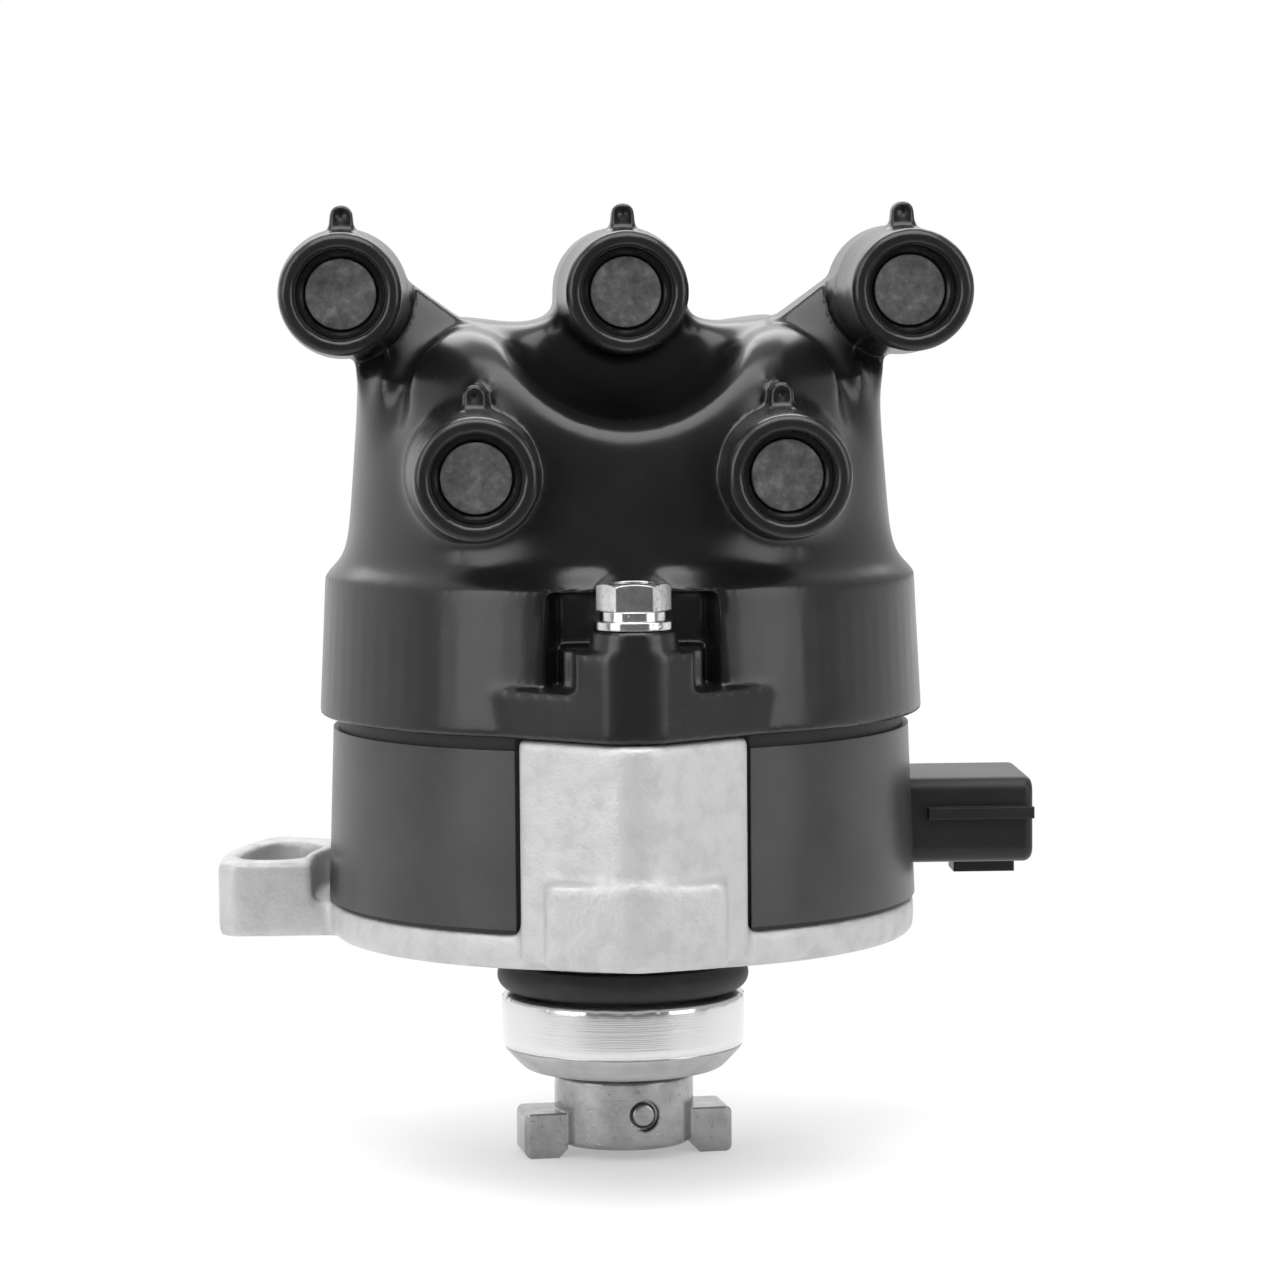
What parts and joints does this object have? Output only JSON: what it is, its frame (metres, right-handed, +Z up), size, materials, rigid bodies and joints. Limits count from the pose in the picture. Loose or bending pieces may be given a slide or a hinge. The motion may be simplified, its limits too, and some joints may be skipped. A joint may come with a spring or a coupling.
{
  "type": "ignition distributor",
  "caption": "Camshaft-driven ignition distributor: cast base with O-ring pilot and slotted ear, sensor ring with plug socket, and a black cap whose lead towers all face one side.",
  "frame": {"origin": "where the shaft's axis meets the underside of the mounting flange", "axes": "+Z up along the shaft towards the cap, -Y the way the lead towers face, +X towards the plug socket"},
  "size_m": [0.1073, 0.0956, 0.1243],
  "materials": {
    "cast_aluminium": "sand-grained die casting, machined on the pilot",
    "steel": "machined steel, dull grey",
    "ring_plastic": "satin grey moulding",
    "cap_plastic": "near-black moulding with a soft gloss",
    "connector_plastic": "black moulding",
    "rubber": "black rubber",
    "zinc": "bright zinc plate",
    "contact_metal": "dull, mottled metal",
    "brass": "stamped brass",
    "bronze": "sintered bronze",
    "bearing_steel": "ground and polished",
    "sensor_plastic": "black moulding",
    "rotor_plastic": "brown moulding",
    "carbon": "graphite"
  },
  "bodies": {
    "base": {"housing": "cast_aluminium", "pilot_o_ring": "rubber", "sensor_ring": "ring_plastic", "distributor_cap": "cap_plastic", "connector_shell": "connector_plastic", "connector_terminals": "brass", "ring_gasket": "rubber", "cap_seal": "rubber", "shaft_bush": "bronze", "oil_seal": "rubber", "bearing_outer_race": "bearing_steel", "bearing_retainer": "steel", "retainer_screws": "zinc", "thrust_washer": "steel", "optical_pickup": "sensor_plastic", "pickup_screws": "zinc", "ignition_module": "sensor_plastic", "module_screws": "zinc", "dust_cover": "sensor_plastic", "cover_screws": "zinc", "brush_spring": "bearing_steel", "contact_centre": "contact_metal", "contact_upper_left": "contact_metal", "contact_upper_right": "contact_metal", "contact_lower_left": "contact_metal", "contact_lower_right": "contact_metal", "cap_screws": "zinc", "flat_washers": "zinc", "spring_washers": "zinc"},
    "shaft": {"drive_shaft": "steel", "drive_coupling": "steel", "coupling_pin": "steel", "bearing_inner_race": "bearing_steel", "trigger_disc": "steel", "disc_collar": "steel", "rotor_arm": "rotor_plastic", "rotor_contact": "brass"},
    "ball_cage": {"bearing_balls": "bearing_steel", "bearing_cage": "brass"},
    "brush": {"carbon_brush": "carbon"}
  },
  "joints": [
    {"name": "shaft_spin", "type": "hinge", "parent": "base", "child": "shaft", "pos_m": [0, 0, 0], "axis": [0, 0, 1], "continuous": true},
    {"name": "cage_orbit", "type": "hinge", "parent": "base", "child": "ball_cage", "pos_m": [0, 0, 0], "axis": [0, 0, 1], "continuous": true},
    {"name": "brush_slide", "type": "slide", "parent": "base", "child": "brush", "axis": [0, 0, 1], "range_m": [0, 0.0015], "stiffness_N_per_m": 400, "springref_m": -0.003, "deforming": ["brush_spring"]}
  ],
  "couplings": [
    {"joint": "cage_orbit", "follows": "shaft_spin", "ratio": 0.378}
  ]
}
